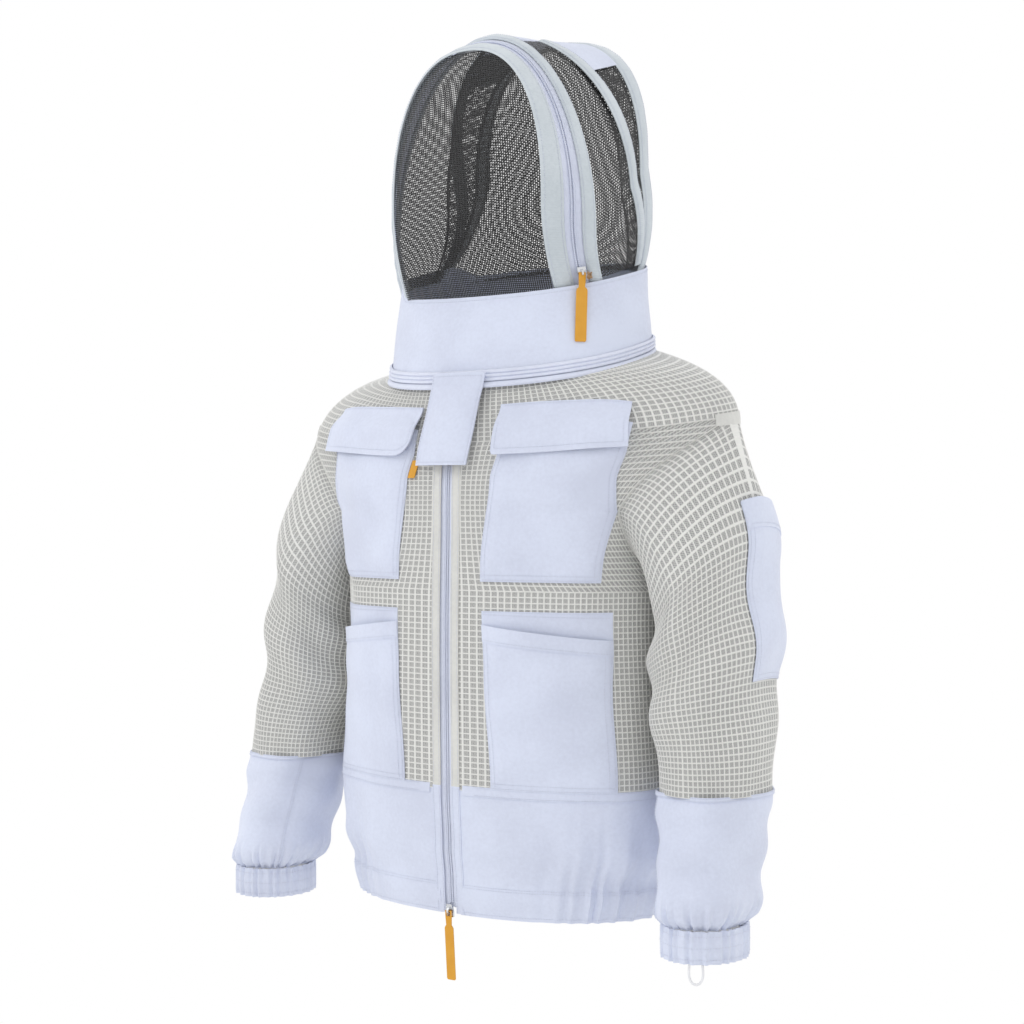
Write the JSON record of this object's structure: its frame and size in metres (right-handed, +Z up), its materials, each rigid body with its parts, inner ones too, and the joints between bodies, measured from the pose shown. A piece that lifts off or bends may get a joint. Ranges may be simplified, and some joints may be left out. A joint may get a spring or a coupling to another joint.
{
  "type": "beekeeping jacket",
  "caption": "Ventilated mesh beekeeping jacket with a zip-on arched fencing hood, patch pockets, front zip and elasticated hem and cuffs.",
  "frame": {"origin": "centre of the neckline, 690 mm above the hem, where a wearer or a torso form carries the jacket", "axes": "+Z up, the jacket's front faces -Y, the wearer's left is +X"},
  "size_m": [0.7666, 0.3133, 1.2205],
  "materials": {
    "ventilated_mesh": "three-layer square-lattice ventilated mesh, off-white",
    "white_cotton": "plain-weave white poly-cotton",
    "binding": "woven white binding tape",
    "black_net": "black see-through polyester net",
    "white_zip": "white coil zip on woven tape",
    "slider_metal": "silver-lacquered die-cast zip slider",
    "gold_pull": "golden moulded rubber, plain",
    "elastic": "white woven elastic",
    "boning": "flexible sprung nylon hoop",
    "hook_tape": "hook-and-loop tape"
  },
  "bodies": {
    "jacket": {"front_left_mesh_panel": "ventilated_mesh", "front_left_waist_panel": "white_cotton", "front_right_mesh_panel": "ventilated_mesh", "front_right_waist_panel": "white_cotton", "back_mesh_panel": "ventilated_mesh", "back_waist_panel": "white_cotton", "hem_casing": "white_cotton", "hem_elastic": "elastic", "zip_tape_left": "white_zip", "zip_coil_left": "white_zip", "zip_tape_right": "white_zip", "zip_coil_right": "white_zip", "chest_pocket_left": "white_cotton", "waist_pocket_left": "white_cotton", "chest_pocket_right": "white_cotton", "waist_pocket_right": "white_cotton", "pocket_loop_patch_left": "hook_tape", "pocket_loop_patch_right": "hook_tape", "pocket_label": "gold_pull", "neck_zip_lower_coil": "white_zip"},
    "hood": {"collar_band": "white_cotton", "neck_zip_upper_coil": "white_zip", "neck_zip_upper_tape": "white_zip", "outer_arch_binding": "binding", "veil_zip_outer_coil": "white_zip", "outer_arch_hoop": "boning", "crown_panel": "white_cotton", "side_veil_left": "black_net", "side_band_left": "binding", "side_veil_right": "black_net", "side_band_right": "binding", "rear_band": "binding", "back_veil": "black_net"},
    "face_veil": {"face_binding": "binding", "veil_zip_inner_coil": "white_zip", "face_hoop": "boning", "face_mesh": "black_net"},
    "neck_tab": {"neck_tab": "white_cotton", "tab_hook_patch": "hook_tape"},
    "sleeve_left": {"sleeve_left_mesh": "ventilated_mesh", "forearm_left": "white_cotton", "cuff_left_casing": "white_cotton", "cuff_left_elastic": "elastic", "sleeve_pocket": "white_cotton", "thumb_loop": "elastic"},
    "sleeve_right": {"sleeve_right_mesh": "ventilated_mesh", "forearm_right": "white_cotton", "cuff_right_casing": "white_cotton", "cuff_right_elastic": "elastic"},
    "chest_flap_left": {"chest_flap_left": "white_cotton", "flap_hook_patch_left": "hook_tape"},
    "chest_flap_right": {"chest_flap_right": "white_cotton", "flap_hook_patch_right": "hook_tape"},
    "front_upper_slider": {"front_upper_slider": "slider_metal"},
    "front_upper_pull": {"front_upper_pull": "gold_pull"},
    "front_lower_slider": {"front_lower_slider": "slider_metal"},
    "front_lower_pull": {"front_lower_pull": "gold_pull"},
    "veil_slider": {"veil_slider": "slider_metal"},
    "veil_pull": {"veil_pull": "gold_pull"}
  },
  "joints": [
    {"name": "hood_tip_back", "type": "hinge", "parent": "jacket", "child": "hood", "pos_m": [0, 0.17, 0.033], "axis": [-1, 0, 0], "range_deg": [0, 100]},
    {"name": "face_veil_drop", "type": "hinge", "parent": "hood", "child": "face_veil", "pos_m": [0, -0.0775, 0.082], "axis": [1, 0, 0], "range_deg": [0, 105]},
    {"name": "neck_tab_lift", "type": "hinge", "parent": "hood", "child": "neck_tab", "pos_m": [0, -0.11939, -0.019], "axis": [-1, 0, 0], "range_deg": [0, 100]},
    {"name": "chest_flap_left_lift", "type": "hinge", "parent": "jacket", "child": "chest_flap_left", "pos_m": [0.15433, -0.08191, -0.05052], "axis": [-0.9159, -0.3798, -0.1298], "range_deg": [0, 120]},
    {"name": "chest_flap_right_lift", "type": "hinge", "parent": "jacket", "child": "chest_flap_right", "pos_m": [-0.15433, -0.08191, -0.05052], "axis": [-0.9159, 0.3798, 0.1298], "range_deg": [0, 120]},
    {"name": "sleeve_left_raise", "type": "hinge", "parent": "jacket", "child": "sleeve_left", "pos_m": [0.33, 0.025, -0.074], "axis": [0, -1, 0], "range_deg": [0, 35]},
    {"name": "sleeve_right_raise", "type": "hinge", "parent": "jacket", "child": "sleeve_right", "pos_m": [-0.33, 0.025, -0.074], "axis": [0, 1, 0], "range_deg": [0, 35]},
    {"name": "front_upper_slider_travel", "type": "slide", "parent": "jacket", "child": "front_upper_slider", "axis": [0, -0.0203, -0.9998], "range_m": [0, 0.28]},
    {"name": "front_upper_pull_swing", "type": "hinge", "parent": "front_upper_slider", "child": "front_upper_pull", "pos_m": [0, -0.12478, -0.11483], "axis": [-1, 0, 0], "range_deg": [0, 6]},
    {"name": "front_lower_slider_travel", "type": "slide", "parent": "jacket", "child": "front_lower_slider", "axis": [0, -0.0786, 0.9969], "range_m": [0, 0.15]},
    {"name": "front_lower_pull_swing", "type": "hinge", "parent": "front_lower_slider", "child": "front_lower_pull", "pos_m": [0, -0.11734, -0.69164], "axis": [-1, 0, 0], "range_deg": [0, 135]},
    {"name": "veil_slider_travel", "type": "slide", "parent": "hood", "child": "veil_slider", "axis": [0.0064, -0.2082, 0.9781], "range_m": [0, 0.05]},
    {"name": "veil_pull_swing", "type": "hinge", "parent": "veil_slider", "child": "veil_pull", "pos_m": [0.14583, -0.03459, 0.10399], "axis": [-0.6629, -0.7332, -0.1518], "range_deg": [0, 135]}
  ]
}
